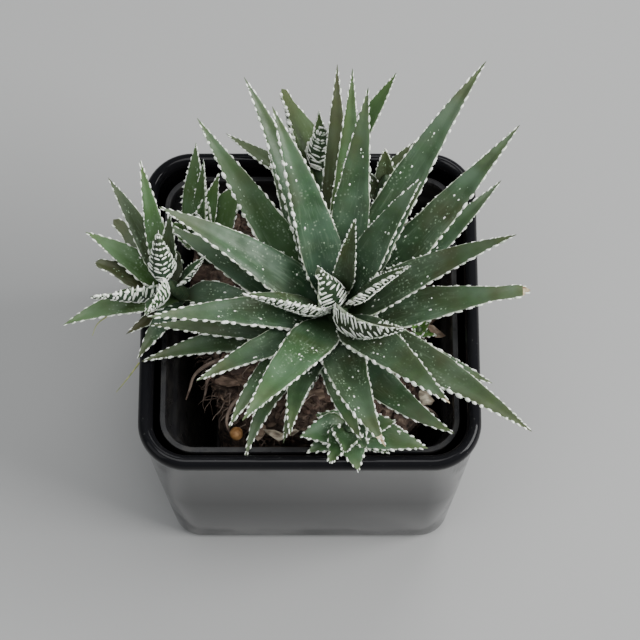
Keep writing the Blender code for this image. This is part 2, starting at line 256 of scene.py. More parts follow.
SPECK_WIDTH = 0.0011
speck = add_node(tree, "TexVoronoi", Scale=1 / SPECK_WIDTH)
join(add_node(tree, "TexCoord").outputs["Object"], speck.inputs["Vector"])
specks = ramp(speck.outputs["Distance"], (0.16, 1.0), (0.34, 0.0))
patches = ramp(blotches(tree, 0.0050, detail=4.0), (0.44, 0.0), (0.58, 1.0))
speck_share = product(product(specks, patches), product(inner_half, upper_side))
skin_colour = blend_colours(product(speck_share, 0.80), skin_colour, LEAF_WINDOW)

reach = add_node(tree, "Math", operation="ABSOLUTE")
join(across, reach.inputs[0])
edge_line = ramp(reach.outputs[0], (0.950, 0.0), (0.975, 1.0))
worn = ramp(blotches(tree, 0.0060, detail=2.0), (0.38, 0.12), (0.56, 1.0))
skin_colour = blend_colours(product(edge_line, worn), skin_colour, LEAF_EDGE)
join(skin_colour, shader.inputs["Base Color"])
join(ramp(mottle, (0.0, 0.40), (1.0, 0.60)), shader.inputs["Roughness"])
bumps(shader, blotches(tree, 0.0006, detail=2.0), depth=0.00012, strength=0.35)
print("leaf skin colours run from", LEAF_DARK, "to", LEAF_TIP)

# %% [markdown]
# ## The pearls
#
# The white marks are tubercles: hard little warts, raised above the skin, that catch the
# light. They are ivory, greyer where the green shows through, and the smallest are hardly
# paler than the leaf. They get their own geometry later, because a painted dot has no edge.

# %% Pearl materials
PEARL = (0.92, 0.94, 0.86)
PEARL_THIN = (0.42, 0.50, 0.38)
PALE_DOT = (0.30, 0.40, 0.27)
pearl = mottled(
    "pearl", PEARL, 0.42, (0.0013, 3, (0.34, PEARL_THIN), (0.52, PEARL)),
    (0.0003, 2, 0.00008, 0.4), Subsurface_Weight=0.10, Subsurface_Radius=(0.0005, 0.0006, 0.0004),
)
pale_dot = mottled(
    "pale_dot", PALE_DOT, 0.5, (0.0020, 3, (0.36, (0.13, 0.21, 0.12)), (0.60, PALE_DOT)),
    (0.0003, 2, 0.00005, 0.3),
)

# %% [markdown]
# ## The other finishes
#
# The dried tip of a damaged leaf is cream and brown. The cachepot is polished black plastic
# with a little dust on it. The nursery pot is thin moulded plastic, satin rather than shiny,
# with a fine grain. The mix is bark, fibre and peat, where the noise needs more detail.

# %% Dry tip and stem materials
DRY_CREAM = (0.62, 0.52, 0.34)
DRY_BROWN = (0.20, 0.11, 0.05)
dry_tip = mottled(
    "dry_tip", DRY_CREAM, 0.7, (0.0016, 3, (0.40, DRY_CREAM), (0.66, DRY_BROWN)),
    (0.0004, 3, 0.0002, 0.6),
)
stem_skin = mottled(
    "stem_skin", (0.03, 0.06, 0.03), 0.5,
    (0.0015, 3, (0.35, (0.022, 0.050, 0.022)), (0.66, (0.050, 0.075, 0.035))),
    (0.0007, 3, 0.0003, 0.7),
)

# %% Black plastics
GLOSS = (0.006, 0.006, 0.007)
DUST = (0.05, 0.05, 0.048)
glossy_black = mottled(
    "glossy_black", GLOSS, 0.12, (0.0009, 1, (0.73, GLOSS), (0.80, DUST)),
    (0.030, 1, 0.00025, 0.25), gloss=(0.014, 5, (0.40, 0.055), (0.80, 0.16)),
    Specular_IOR_Level=0.12,
)
satin_black = mottled(
    "satin_black", (0.014, 0.014, 0.015), 0.34,
    (0.005, 6, (0.45, (0.012, 0.012, 0.013)), (0.75, (0.030, 0.029, 0.027))),
    (0.0005, 3, 0.00006, 0.35), gloss=(0.004, 3, (0.3, 0.24), (0.7, 0.46)),
    Specular_IOR_Level=0.30,
)

# %% Mix, root, thread and clay materials
SOIL_DARK = (0.018, 0.013, 0.010)
SOIL_BROWN = (0.110, 0.075, 0.056)
SOIL_TAN = (0.280, 0.210, 0.155)
soil = mottled(
    "soil", SOIL_BROWN, 0.95, (0.0022, 8, (0.34, SOIL_DARK), (0.54, SOIL_BROWN), (0.72, SOIL_TAN)),
    (0.0011, 8, 0.0014, 0.9),
)
root_skin = mottled(
    "root_skin", (0.16, 0.10, 0.07), 0.8,
    (0.0040, 3, (0.35, (0.090, 0.058, 0.044)), (0.70, (0.38, 0.29, 0.23))),
    (0.0008, 3, 0.0002, 0.5),
)
thread_skin = mottled(
    "thread_skin", (0.34, 0.36, 0.12), 0.7,
    (0.0020, 3, (0.35, (0.20, 0.26, 0.07)), (0.65, (0.42, 0.42, 0.16))),
)
clay = mottled(
    "clay_pellet", (0.36, 0.17, 0.05), 0.55,
    (0.0018, 3, (0.38, (0.26, 0.12, 0.035)), (0.62, (0.44, 0.24, 0.09))),
    (0.0006, 3, 0.0002, 0.6),
)

# %% [markdown]
# Bark is the one finish of the mix with a colour of its own for every chip. Each chip stores
# a tone, from peat to pale wood, and dark fibres run along it.

# %% Bark material
bark, tree, shader = new_material("bark", SOIL_BROWN, 0.85)
tone = add_node(tree, "Attribute", attribute_name="tone").outputs["Fac"]
body = ramp(
    tone, (0.0, (0.035, 0.022, 0.017)), (0.55, (0.130, 0.080, 0.058)),
    (0.85, (0.28, 0.20, 0.14)), (1.0, (0.78, 0.70, 0.54)),
)
fibrous = blotches(tree, 0.0012, detail=6.0, stretch=(0.4, 1.0, 1.0))
darker = blend_colours(0.75, body, (0.25, 0.22, 0.20), kind="MULTIPLY")
flecks = blend_colours(ramp(fibrous, (0.40, 0.0), (0.60, 1.0)), darker, body)
join(flecks, shader.inputs["Base Color"])
bumps(shader, fibrous, depth=0.0005, strength=0.8)
print("bark nodes:", len(tree.nodes))

# %% [markdown]
# ## The pots
#
# Both pots are square with rounded corners at every level. So one helper draws a rounded
# square, and a pot is a list of such outlines joined by faces, up the outside, over the lip
# and down the inside. A box with bevels would also do, but a list of outlines gives each
# step of the rim its place.

# %% Turn mesh data into a named piece
def placed(name, data):
    made = bpy.data.objects.new(name, data)
    bpy.context.scene.collection.objects.link(made)
    return made


def smooth_piece(name, mesh, finishes, smooth_angle):
    mesh.shade_smooth()
    mesh.set_sharp_from_angle(angle=math.radians(smooth_angle))
    for finish in finishes:
        mesh.materials.append(finish)
    return placed(name, mesh)


def piece_from(bm, name, finish, smooth_angle=40.0):
    bmesh.ops.recalc_face_normals(bm, faces=bm.faces)
    mesh = bpy.data.meshes.new(name)
    bm.to_mesh(mesh)
    bm.free()
    return smooth_piece(name, mesh, [finish], smooth_angle)


def settle(piece, slot, *nodes):
    """The piece rides on the root body and stands for these nodes, which it hides. Its slot is not
    used.
    """
    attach(piece, "root")
    if nodes:
        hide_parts(*nodes)
    return piece


def skin(bm, rings):
    """Joins the rings with faces and closes both ends."""
    loops = [[bm.verts.new(point) for point in ring] for ring in rings]
    for lower, upper in zip(loops, loops[1:]):
        for i, vertex in enumerate(lower):
            j = (i + 1) % len(lower)
            bm.faces.new((vertex, lower[j], upper[j], upper[i]))
    bm.faces.new(list(reversed(loops[0])))
    bm.faces.new(loops[-1])

# %% A rounded square at one level
CORNER_STEPS = 14


def polar(reach, angle):
    return reach * math.cos(angle), reach * math.sin(angle)


def square_ring(side, corner, z):
    reach = side / 2 - corner
    ring = []
    for turn in range(0, 360, 90):
        centre = Matrix.Rotation(math.radians(turn), 3, "Z") @ Vector((reach, reach, 0))
        for step in range(CORNER_STEPS + 1):
            angle = math.radians(turn + 90 * step / CORNER_STEPS)
            ring.append(centre + Vector((*polar(corner, angle), z)))
    return ring

# %% [markdown]
# A rolled lip is a half round seen from the side. We walk over it in small turns, so that it
# catches one clean highlight. Each outline is its side, its corner radius and its level.

# %% Build the cachepot
CACHEPOT_FOOT, CACHEPOT_CORNER = 0.089, 0.0145
CACHEPOT_WALL, CACHEPOT_FLOOR = 0.003, 0.0035
LIP_WIDTH, LIP_DROP, LIP_END = 0.0044, 0.0030, 0.0034


def over_the_lip(side, corner, top, width, turns=9):
    """Outlines that climb the outside of the lip, pass over it and come down inside."""
    rings = []
    for turn in range(turns + 1):
        angle = math.pi * turn / turns
        inward = width / 2 * (1 - math.cos(angle))
        drop = LIP_DROP * (1 - math.sin(angle)) if 0 < turn < turns else LIP_END
        rings.append((side - 2 * inward, corner - inward, top - drop))
    return rings


inner = POT_SIDE - 2 * CACHEPOT_WALL
cachepot_rings = [
    (CACHEPOT_FOOT - 0.008, 0.0060, 0.0),
    (CACHEPOT_FOOT - 0.0052, 0.0071, 0.0002),
    (CACHEPOT_FOOT - 0.0028, 0.0082, 0.0009),
    (CACHEPOT_FOOT - 0.0010, 0.0090, 0.0020),
    (CACHEPOT_FOOT, 0.0095, 0.0036),
    (POT_SIDE - 0.0060, CACHEPOT_CORNER - 0.0030, POT_HEIGHT * 0.5),
    (POT_SIDE - 0.0016, CACHEPOT_CORNER - 0.0008, POT_HEIGHT - 0.0066),
    (POT_SIDE - 0.0008, CACHEPOT_CORNER - 0.0004, POT_HEIGHT - 0.0050),
    *over_the_lip(POT_SIDE, CACHEPOT_CORNER, POT_HEIGHT, LIP_WIDTH),
    (inner - 0.0026, CACHEPOT_CORNER - 0.0044, POT_HEIGHT - 0.0048),
    (inner - 0.0034, CACHEPOT_CORNER - 0.0046, POT_HEIGHT * 0.8),
    (CACHEPOT_FOOT - 2 * CACHEPOT_WALL, 0.0068, CACHEPOT_FLOOR + 0.0030),
    (CACHEPOT_FOOT - 2 * CACHEPOT_WALL - 0.0045, 0.0050, CACHEPOT_FLOOR),
]
bm = bmesh.new()
skin(bm, [square_ring(*ring) for ring in cachepot_rings])
cachepot = piece_from(bm, "glossy_cachepot", glossy_black, smooth_angle=55.0)
settle(cachepot, "cachepot_black", "cachepot")
print("cachepot faces:", len(cachepot.data.polygons))

# %% [markdown]
# The nursery pot is pressed from thin sheet. It has a flat rim, a step below the rim that
# stiffens it, and a second small step where pots of this kind stack. Its drainage holes are
# cut with one Boolean, because four cylinders can be a single cutter.

# %% Build the nursery pot
NURSERY_FOOT, NURSERY_CORNER = 0.066, 0.0105
NURSERY_WALL, RIM_BAND, DRAIN_HOLE = 0.0013, 0.009, 0.007
rim_top, nursery_floor = nursery_high.z, nursery_low.z
below_band = NURSERY_SIDE - 0.0062
sheet = 2 * NURSERY_WALL
# Outlines over the rim: how much narrower than its edge, and how far below its top.
rim_profile = (
    (0.0020, RIM_BAND - 0.0006), (0.0016, RIM_BAND - 0.0014), (0.0016, 0.0014), (0.0002, 0.0012),
    (0.0, 0.0006), (0.0006, 0.0), (0.0034, 0.0), (0.0042, 0.0006), (0.0044, 0.0018),
    (0.0062, RIM_BAND - 0.0020), (0.0074, RIM_BAND - 0.0010), (0.0088, RIM_BAND - 0.0004),
)
nursery_rings = [
    (NURSERY_FOOT - 0.0016, 0.0052, nursery_floor),
    (NURSERY_FOOT, 0.0060, nursery_floor + 0.0010),
    (below_band, NURSERY_CORNER - 0.0031, rim_top - RIM_BAND),
    *((NURSERY_SIDE - w, NURSERY_CORNER - w / 2, rim_top - drop) for w, drop in rim_profile),
    (below_band - sheet - 0.0010, NURSERY_CORNER - 0.0050, rim_top - RIM_BAND - 0.0012),
    (NURSERY_FOOT - sheet, 0.0047, nursery_floor + sheet + 0.0012),
    (NURSERY_FOOT - sheet - 0.0020, 0.0040, nursery_floor + sheet),
]
bm = bmesh.new()
skin(bm, [square_ring(*ring) for ring in nursery_rings])
nursery_pot = piece_from(bm, "thin_nursery_pot", satin_black, smooth_angle=38.0)

bm = bmesh.new()
spread = NURSERY_FOOT * 0.36
for turn in (45, 135, 225, 315):
    place = Matrix.Translation((*polar(spread, math.radians(turn)), nursery_floor))
    bmesh.ops.create_cone(
        bm, cap_ends=True, segments=28, radius1=DRAIN_HOLE / 2, radius2=DRAIN_HOLE / 2,
        depth=0.012, matrix=place,
    )
cutter = piece_from(bm, "drain_cutter", satin_black)
holes = nursery_pot.modifiers.new("drain_holes", "BOOLEAN")
holes.operation, holes.solver, holes.object = "DIFFERENCE", "EXACT", cutter
bpy.context.view_layer.objects.active = nursery_pot
bpy.ops.object.modifier_apply(modifier="drain_holes")
bpy.data.objects.remove(cutter)
settle(nursery_pot, "nursery_black", "nursery_pot")
print("nursery pot faces with its holes:", len(nursery_pot.data.polygons))

# %% [markdown]
# ## The potting mix
#
# The plant has filled its pot with roots, so the mix is a firm plug that has shrunk away from
# the front left corner and crumbles there. We draw its outline at many levels and then in
# rings on top, and push each point in or out with noise for crumbs.

# %% Shape the root ball
MIX_SIDES, MIX_LEVELS, MIX_RINGS_ON_TOP = 112, 26, 14
MIX_FOOT_HALF = NURSERY_FOOT / 2 - NURSERY_WALL - 0.0020
MIX_TOP_HALF = NURSERY_SIDE / 2 - 0.0084
CRUMB_DEPTH = 0.0013


def mix_outline(angle, share):
    square = 1 / max(abs(math.cos(angle)), abs(math.sin(angle)))
    slump = math.exp(-(((math.degrees(angle) - 222) / 24) ** 2))
    lumps = 0.03 * math.sin(5 * angle + 1.0) + 0.02 * math.sin(9 * angle + 0.4)
    return min(square, 1.27) * (1 - 0.27 * slump * share + lumps * share)


def crumbled(point, depth):
    """Moves a point by noise on two scales, inwards more than outwards."""
    coarse = noise.noise(point * 190.0)
    fine = noise.noise(point * 620.0 + Vector((7.0, 0.0, 3.0)))
    outward = Vector((point.x, point.y, 0)).normalized()
    push = depth * (0.75 * coarse + 0.45 * fine - 0.35)
    return point + outward * push + Vector((0, 0, depth * 0.8 * fine))


def mix_top_height(x, y):
    """The surface sags a little between the offsets and falls away at the front left."""
    sag = 0.0022 * noise.noise(Vector((x, y, 0.0)) * 70.0)
    fall = 0.010 * max(0.0, (-x - y - 0.036) / 0.02)
    return MIX_TOP - 0.0012 + sag - fall


def mix_ring(half, spread, rise, depth):
    """One outline of the mix. Rise is its share of the way from the foot to the top."""
    ring = []
    for step in range(MIX_SIDES):
        angle = 2 * math.pi * step / MIX_SIDES
        x, y = polar(half * mix_outline(angle, spread), angle)
        z = mix_low.z + (mix_top_height(x, y) - mix_low.z) * rise
        ring.append(crumbled(Vector((x, y, z)), depth))
    return ring


rings = []
for level in range(MIX_LEVELS + 1):
    rise = level / MIX_LEVELS
    half = MIX_FOOT_HALF + (MIX_TOP_HALF - MIX_FOOT_HALF) * rise
    rings.append(mix_ring(half, min(1.0, rise * 1.3), rise, CRUMB_DEPTH * min(1.0, rise * 3)))
for level in range(1, MIX_RINGS_ON_TOP):
    rings.append(mix_ring(MIX_TOP_HALF * (1 - level / MIX_RINGS_ON_TOP), 1.0, 1.0, CRUMB_DEPTH))
bm = bmesh.new()
skin(bm, rings)
root_ball = piece_from(bm, "root_ball", soil, smooth_angle=80.0)
settle(root_ball, "bark_mix", "potting_mix")
print("root ball faces:", len(root_ball.data.polygons))

# %% [markdown]
# ## Bark, roots and crumbs
#
# What the eye reads as potting mix is the loose pieces on top. Each chip of bark is a small
# ball that is flattened, has its points moved about, and is dropped at a random place on the
# mix. The seed of the random numbers is fixed, so every run gives the same bed.

# %% Scatter bark chips
CHIP_COUNT, CHIP_REACH = 620, MIX_TOP_HALF - 0.0010
CHIP_SIZES = (0.0022, 0.0030, 0.0038, 0.0055)


def add_chip(bm, tone_layer, place, size, tone, rng):
    """One splintered chip: a stretched ball whose points are pushed about."""
    turn = Matrix.Rotation(rng.uniform(0, 6.28), 4, "Z")
    tilt = Matrix.Rotation(rng.gauss(0, 0.45), 4, "X")
    wide, tall = rng.uniform(0.30, 0.65), rng.uniform(0.16, 0.34)
    shape = Matrix.Diagonal((size, size * wide, size * tall, 1))
    made = bmesh.ops.create_icosphere(bm, subdivisions=1, radius=0.5)["verts"]
    for vertex in made:
        vertex.co *= rng.uniform(0.68, 1.25)
        vertex[tone_layer] = tone * rng.uniform(0.85, 1.1)
    bmesh.ops.transform(bm, matrix=Matrix.Translation(place) @ turn @ tilt @ shape, verts=made)


rng = random.Random(12)
bm = bmesh.new()
tone_layer = bm.verts.layers.float.new("tone")
for _ in range(CHIP_COUNT):
    angle = rng.uniform(0, 2 * math.pi)
    reach = MIX_TOP_HALF * mix_outline(angle, 1.0) * math.sqrt(rng.uniform(0.02, 0.98))
    x, y = polar(reach, angle)
    if max(abs(x), abs(y)) > CHIP_REACH:
        continue
    size = rng.choice(CHIP_SIZES) * rng.uniform(0.8, 1.25)
    tone = min(0.8, max(0.05, rng.gauss(0.42, 0.22)))
    height = mix_top_height(x, y) + rng.uniform(-0.0002, 0.0012)
    add_chip(bm, tone_layer, Vector((x, y, height)), size, tone, rng)
print("points of the bark chips:", len(bm.verts))

# %% [markdown]
# Some pieces stand out and are placed one by one: a cream flake and tan wood by the front wall,
# a pale block near the right corner, and bark by the right wall and at the broken face of
# the root ball, where smaller crumbs cling too. Each is its place and its size, which are
# in millimetres here, and its tone.

# %% Place the special chips
def metres(millimetres):
    return [value / 1000 for value in millimetres]


special_chips = (
    (-9.8, -36.2, 83.2, 8.8, 1.00), (-6, -35.8, 83.8, 6, 0.97), (-15, -35, 82.5, 6.6, 0.88),
    (34, -24.5, 83, 6.8, 0.98), (26.2, -25, 82.2, 6, 0.86), (36, -10.5, 83.8, 9, 0.78),
    (37.2, -4, 84.5, 8.8, 0.84), (36.8, 1.2, 83.8, 7.8, 0.74), (32.5, -7, 83.8, 5.5, 0.80),
    (30, -1.5, 82.2, 5.2, 0.62), (-25, -19, 81.2, 8, 0.72), (-21.5, -24.5, 79.5, 6.6, 0.60),
    (-33, -8, 82.2, 7.2, 0.66), (-34.5, -1, 81.8, 6.2, 0.58),
)
for *place, size, tone in special_chips:
    add_chip(bm, tone_layer, Vector(metres(place)), size / 1000, tone, rng)
SLUMP_CRUMBS = 210
for _ in range(SLUMP_CRUMBS):
    angle = math.radians(rng.uniform(188, 262))
    depth = rng.uniform(0.0, 0.030)
    share = 1 - depth / (MIX_TOP - mix_low.z)
    half = MIX_FOOT_HALF + (MIX_TOP_HALF - MIX_FOOT_HALF) * share
    reach = half * mix_outline(angle, 1.0) - rng.uniform(0.0002, 0.0014)
    x, y = polar(reach, angle)
    place = Vector((x, y, mix_top_height(x, y) - depth))
    tone = min(0.75, max(0.1, rng.gauss(0.48, 0.2)))
    add_chip(bm, tone_layer, place, rng.uniform(0.0012, 0.0040), tone, rng)
bark_chips = piece_from(bm, "bark_chips", bark, smooth_angle=25.0)
settle(bark_chips, "bark_mix")
print("bark chip faces:", len(bark_chips.data.polygons))

# %% [markdown]
# Roots and bark fibres are thin, and they wander. A curve with a round bevel is the natural
# tool: it is smooth between a few points, and it can thin towards its end.

# %% Grow the roots
def root_curve(name, strands, thickness, finish=root_skin):
    """One piece made of many strands. Each strand is a list of points."""
    curve = bpy.data.curves.new(name, "CURVE")
    curve.dimensions = "3D"
    curve.bevel_depth = thickness
    curve.bevel_resolution = 1
    curve.resolution_u = 5
    curve.use_fill_caps = True
    for strand in strands:
        spline = curve.splines.new("BEZIER")
        spline.bezier_points.add(len(strand) - 1)
        for index, (handle, point) in enumerate(zip(spline.bezier_points, strand)):
            handle.co = point
            handle.handle_left_type = handle.handle_right_type = "AUTO"
            handle.radius = 1.0 - 0.7 * index / (len(strand) - 1)
    curve.materials.append(finish)
    return settle(placed(name, curve), "bark_mix")


def wander(start, heading, length, sag, rng, steps=6):
    points = [Vector(start)]
    for _ in range(steps):
        swerve = Vector((rng.gauss(0, 0.38), rng.gauss(0, 0.38), rng.gauss(0, 0.25) - sag))
        heading = (heading + swerve).normalized()
        points.append(points[-1] + heading * length / steps)
    return points


strands = []
for _ in range(46):
    angle = math.radians(rng.uniform(186, 258))
    reach = MIX_TOP_HALF * mix_outline(angle, 1.0) - 0.002
    start = (*polar(reach, angle), MIX_TOP - rng.uniform(0.0005, 0.020))
    outward = Vector((*polar(1, angle), 0.1))
    strands.append(wander(start, outward, rng.uniform(0.004, 0.011), 0.30, rng))
fine_roots = root_curve("fine_roots", strands, 0.00022)
strands = []
for _ in range(60):
    angle = rng.uniform(0, 2 * math.pi)
    reach = 0.031 * math.sqrt(rng.uniform(0.1, 1.0))
    start = (*polar(reach, angle), MIX_TOP + 0.0006)
    heading = Vector((rng.uniform(-1, 1), rng.uniform(-1, 1), 0.15))
    strands.append(wander(start, heading, rng.uniform(0.005, 0.012), 0.04, rng))
bark_fibres = root_curve("bark_fibres", strands, 0.00020)
print("roots and fibres:", len(fine_roots.data.splines), len(bark_fibres.data.splines))

# %% [markdown]
# A few thicker roots are placed one by one: one hooks out over the empty corner and ends
# in a pale stub, two come down beside it, and one shows at the right. Two dry threads of
# dead leaf hang from the left offset. Their points are in millimetres.

# %% Place the thick roots and the dry threads
hooked_root = (
    (-27, -12, 81.2), (-31.5, -14.5, 82.2), (-34.5, -16.5, 80),
    (-36, -19.5, 76.5), (-37.2, -22.2, 74.5),
)
side_root = ((-25.5, -15, 81.5), (-30, -17.5, 81.2), (-31.2, -20.5, 77), (-32.2, -21.8, 72))
low_root = ((-19, -21.5, 80), (-23.5, -26.2, 79), (-24.8, -30.5, 76.2), (-23.5, -33.2, 74))
right_root = ((28, -23, 81.5), (32.5, -26.5, 82.5), (36.5, -28.5, 81.5), (38.2, -30, 80))
long_thread = ((-56, -4.5, 104.8), (-59, -6.6, 103.6), (-61.8, -8.4, 102.2), (-63.4, -11.2, 100))
short_thread = ((-50, -17, 93), (-53.5, -21.5, 91.5), (-57, -24.5, 88))


def in_metres(*strands):
    return [[metres(point) for point in strand] for strand in strands]


roots = in_metres(hooked_root, side_root, low_root, right_root)
thick_roots = root_curve("thick_roots", roots, 0.00080)
threads = in_metres(long_thread, short_thread)
dry_threads = root_curve("dry_threads", threads, 0.00028, thread_skin)
print("thick roots and threads:", len(thick_roots.data.splines), len(dry_threads.data.splines))

# %% [markdown]
# One baked clay pellet lies in the front corner. It is nearly round, so a ball with a little
# noise is enough.

# %% Add the clay pellet
PELLET_RADIUS = 0.0020
PELLET_PLACE = Vector((-0.0218, -0.0338, 0.0772))
bm = bmesh.new()
bmesh.ops.create_icosphere(bm, subdivisions=4, radius=PELLET_RADIUS)
for vertex in bm.verts:
    vertex.co *= 1 + 0.06 * noise.noise(vertex.co * 700.0)
    vertex.co += PELLET_PLACE
clay_pellet = piece_from(bm, "round_pellet", clay, smooth_angle=80.0)
settle(clay_pellet, "bark_mix")
print("pellet width, mm:", round(PELLET_RADIUS * 2000, 1))

# %% [markdown]
# ## How a leaf is drawn
#
# Every leaf follows the same plan. It leaves its stem towards a compass direction, starts
# steep, arches over, and narrows to a point. We write that plan down as a list of frames
# along the leaf: where its middle is, which way it points, which way is its side and its
# upper face, and how wide it is there. Blade and pearls both read the frames, so a pearl
# always sits on the skin. Azimuth and bend are compass degrees, rise and droop are degrees
# above the level at the leaf's start and end, and height is its place on the stem. Roll
# turns a leaf about its own length, cup lifts its margins, and a blunt leaf lost its tip.

# %% Describe a leaf and a rosette
Leaf = namedtuple(
    "Leaf",
    "azimuth length height rise droop bend width roll cup blunt",
    defaults=(0, 1.0, 0, 0.12, False),
)
Rosette = namedtuple("Rosette", "foot crown radius leaves")
LEAF_WIDTH = 0.0122
LEAF_BROADEST, LEAF_NECK, TAPER = 0.24, 0.50, 1.5
BLUNT_FROM, BLUNT_WIDTH = 0.90, 0.34
POINT_WIDTH = 0.012
KEEL = 0.60
SPINE_STEPS = 26

# %% Walk along a leaf
Frame = namedtuple("Frame", "along centre tangent side up half")


def direction(azimuth, lift):
    level = math.cos(math.radians(lift))
    turn = math.radians(azimuth)
    return Vector((level * math.cos(turn), level * math.sin(turn), math.sin(math.radians(lift))))


def stem_point(rosette, height):
    foot, crown = Vector(rosette.foot), Vector(rosette.crown)
    return foot.lerp(crown, height / (crown.z - foot.z))


def width_share(leaf, along):
    neck = LEAF_NECK + (1 - LEAF_NECK) * math.sin(min(1.0, along / LEAF_BROADEST) * math.pi / 2)
    taper = 1 - (max(0.0, along - LEAF_BROADEST) / (1 - LEAF_BROADEST)) ** TAPER
    if leaf.blunt:
        rounding = max(0.0, (along - BLUNT_FROM) / (1 - BLUNT_FROM))
        taper = max(taper, BLUNT_WIDTH * math.sqrt(max(0.0, 1 - rounding ** 2)))
    return neck * max(taper, POINT_WIDTH)


def leaf_frames(rosette, leaf, start):
    centre = stem_point(rosette, leaf.height) + start * direction(leaf.azimuth, 0)
    frames = []
    for index in range(SPINE_STEPS + 1):
        along = index / SPINE_STEPS
        azimuth = leaf.azimuth + leaf.bend * along
        tangent = direction(azimuth, leaf.rise + (leaf.droop - leaf.rise) * along)
        turn = math.radians(azimuth)
        side = Vector((-math.sin(turn), math.cos(turn), 0))
        side = Matrix.Rotation(math.radians(leaf.roll), 3, tangent) @ side
        half = LEAF_WIDTH / 2 * leaf.width * width_share(leaf, along)
        frames.append(Frame(along, centre.copy(), tangent, side, tangent.cross(side), half))
        middle = along + 0.5 / SPINE_STEPS
        lift = leaf.rise + (leaf.droop - leaf.rise) * middle
        centre += leaf.length / SPINE_STEPS * direction(leaf.azimuth + leaf.bend * middle, lift)
    return frames


def frame_at(frames, along):
    place = min(max(along, 0.0), 0.9999) * (len(frames) - 1)
    low, high = frames[int(place)], frames[int(place) + 1]
    share = place - int(place)
    mixed = [a.lerp(b, share) for a, b in zip(low[1:5], high[1:5])]
    return Frame(along, *mixed, low.half + (high.half - low.half) * share)


# %% [markdown]
# Cut across, a leaf has a nearly flat upper face with soft shoulders, and a keeled underside
# like the hull of a boat. Two short formulas give the height of each face between the
# margins, and the blade is a ring of such points at every frame.

# %% The two faces of a leaf
def upper_face(across):
    return 0.34 * across * across * (1 - across * across)


def lower_face(across):
    return -KEEL * (1 - abs(across) ** 2.1) ** 0.72


def on_leaf(at, leaf, across, face):
    """A point on the leaf's skin. The face is a function that gives the height."""
    height = face(across) + leaf.cup * across * across
    return at.centre + at.half * (across * at.side + height * at.up)


UPPER_PLACES = (0.93, 0.78, 0.55, 0.28, 0.0, -0.28, -0.55, -0.78, -0.93)
LOWER_PLACES = (-1.0, -0.95, -0.82, -0.62, -0.36, -0.12, 0.12, 0.36, 0.62, 0.82, 0.95, 1.0)
SECTION = [(across, lower_face, 1.0 if abs(across) < 0.99 else 0.5) for across in LOWER_PLACES]
SECTION += [(across, upper_face, 0.0) for across in UPPER_PLACES]


def blade_rings(frames, leaf, rng):
    """Rings of points round the leaf, with a margin that waves a little as real ones do."""
    wave, phase = rng.uniform(0.010, 0.030), rng.uniform(0, 6.28)
    rings = []
    for at in frames:
        ripple = 1 + sum(wave * math.sin(at.along * pace + phase) for pace in (19, 43))
        at = at._replace(half=at.half * ripple)
        rings.append([on_leaf(at, leaf, across, face) for across, face, _ in SECTION])
    return rings


# %% [markdown]
# ## How the pearls are placed
#
# There are three kinds. A row of long pearls sits along each margin like stitches. Short
# pearls stand side by side round the underside and make the zebra bands. A few dots lie in
# clusters on the upper face. Each is the same low ball, stretched along one direction of the
# leaf, so we keep one ball and place many copies of its points with arrays.

# %% One ball, many pearls
SKIN_SLOT, PEARL_SLOT, DRY_SLOT, DOT_SLOT = 0, 1, 2, 3


def ball_template(segments, rings):
    bm = bmesh.new()
    bmesh.ops.create_uvsphere(bm, u_segments=segments, v_segments=rings, radius=1.0)
    points = np.array([vertex.co[:] for vertex in bm.verts])
    faces = [[vertex.index for vertex in face.verts] for face in bm.faces]
    bm.free()
    return points, faces


PEARL_BALL = ball_template(8, 5)
DOT_BALL = ball_template(6, 4)
print("points of one pearl and one dot:", len(PEARL_BALL[0]), len(DOT_BALL[0]))

# %% Rows, bands and dots
MARGIN_WIDE, MARGIN_TALL, MARGIN_LONGEST = 0.00037, 0.00034, 0.0014
BAND_PITCH, BAND_LEAN, BAND_TALL, BAND_LONGEST = 0.0024, 0.0011, 0.00022, 0.0021
DOT_SIZES = (0.00012, 0.00015, 0.00019, 0.00026)
WHITE_DOT = 0.00024


def add_margin(gathered, frames, leaf, edge, size, pitch, rng):
    """A row of pearls along one margin. Edge is +1 or -1, size swells them."""
    along = 0.05 + rng.uniform(0, 0.02)
    while along < 0.985:
        at = frame_at(frames, along)
        small = min(1.0, at.half / (LEAF_WIDTH * 0.30)) ** 0.55
        swell = 1.15 * size * small * rng.uniform(0.68, 1.32)
        step = pitch * (0.55 + 0.45 * small) * rng.uniform(0.82, 1.18)
        long = min(step * rng.uniform(0.28, 0.48), MARGIN_LONGEST)
        across = edge * rng.uniform(0.93, 0.99)
        place = on_leaf(at, leaf, across, lower_face) + at.side * edge * 0.00006
        outward = (at.side * edge - at.up * 0.5).normalized()
        ahead = (at.tangent + at.side * rng.uniform(-0.14, 0.14)).normalized()
        wide = MARGIN_WIDE * swell ** 0.75 * rng.uniform(0.8, 1.2)
        tall = MARGIN_TALL * swell ** 0.6
        ways = (ahead * long, outward.cross(ahead) * wide, outward * tall)
        gathered.add_pearl(PEARL_BALL, place, ways)
        along += step / leaf.length


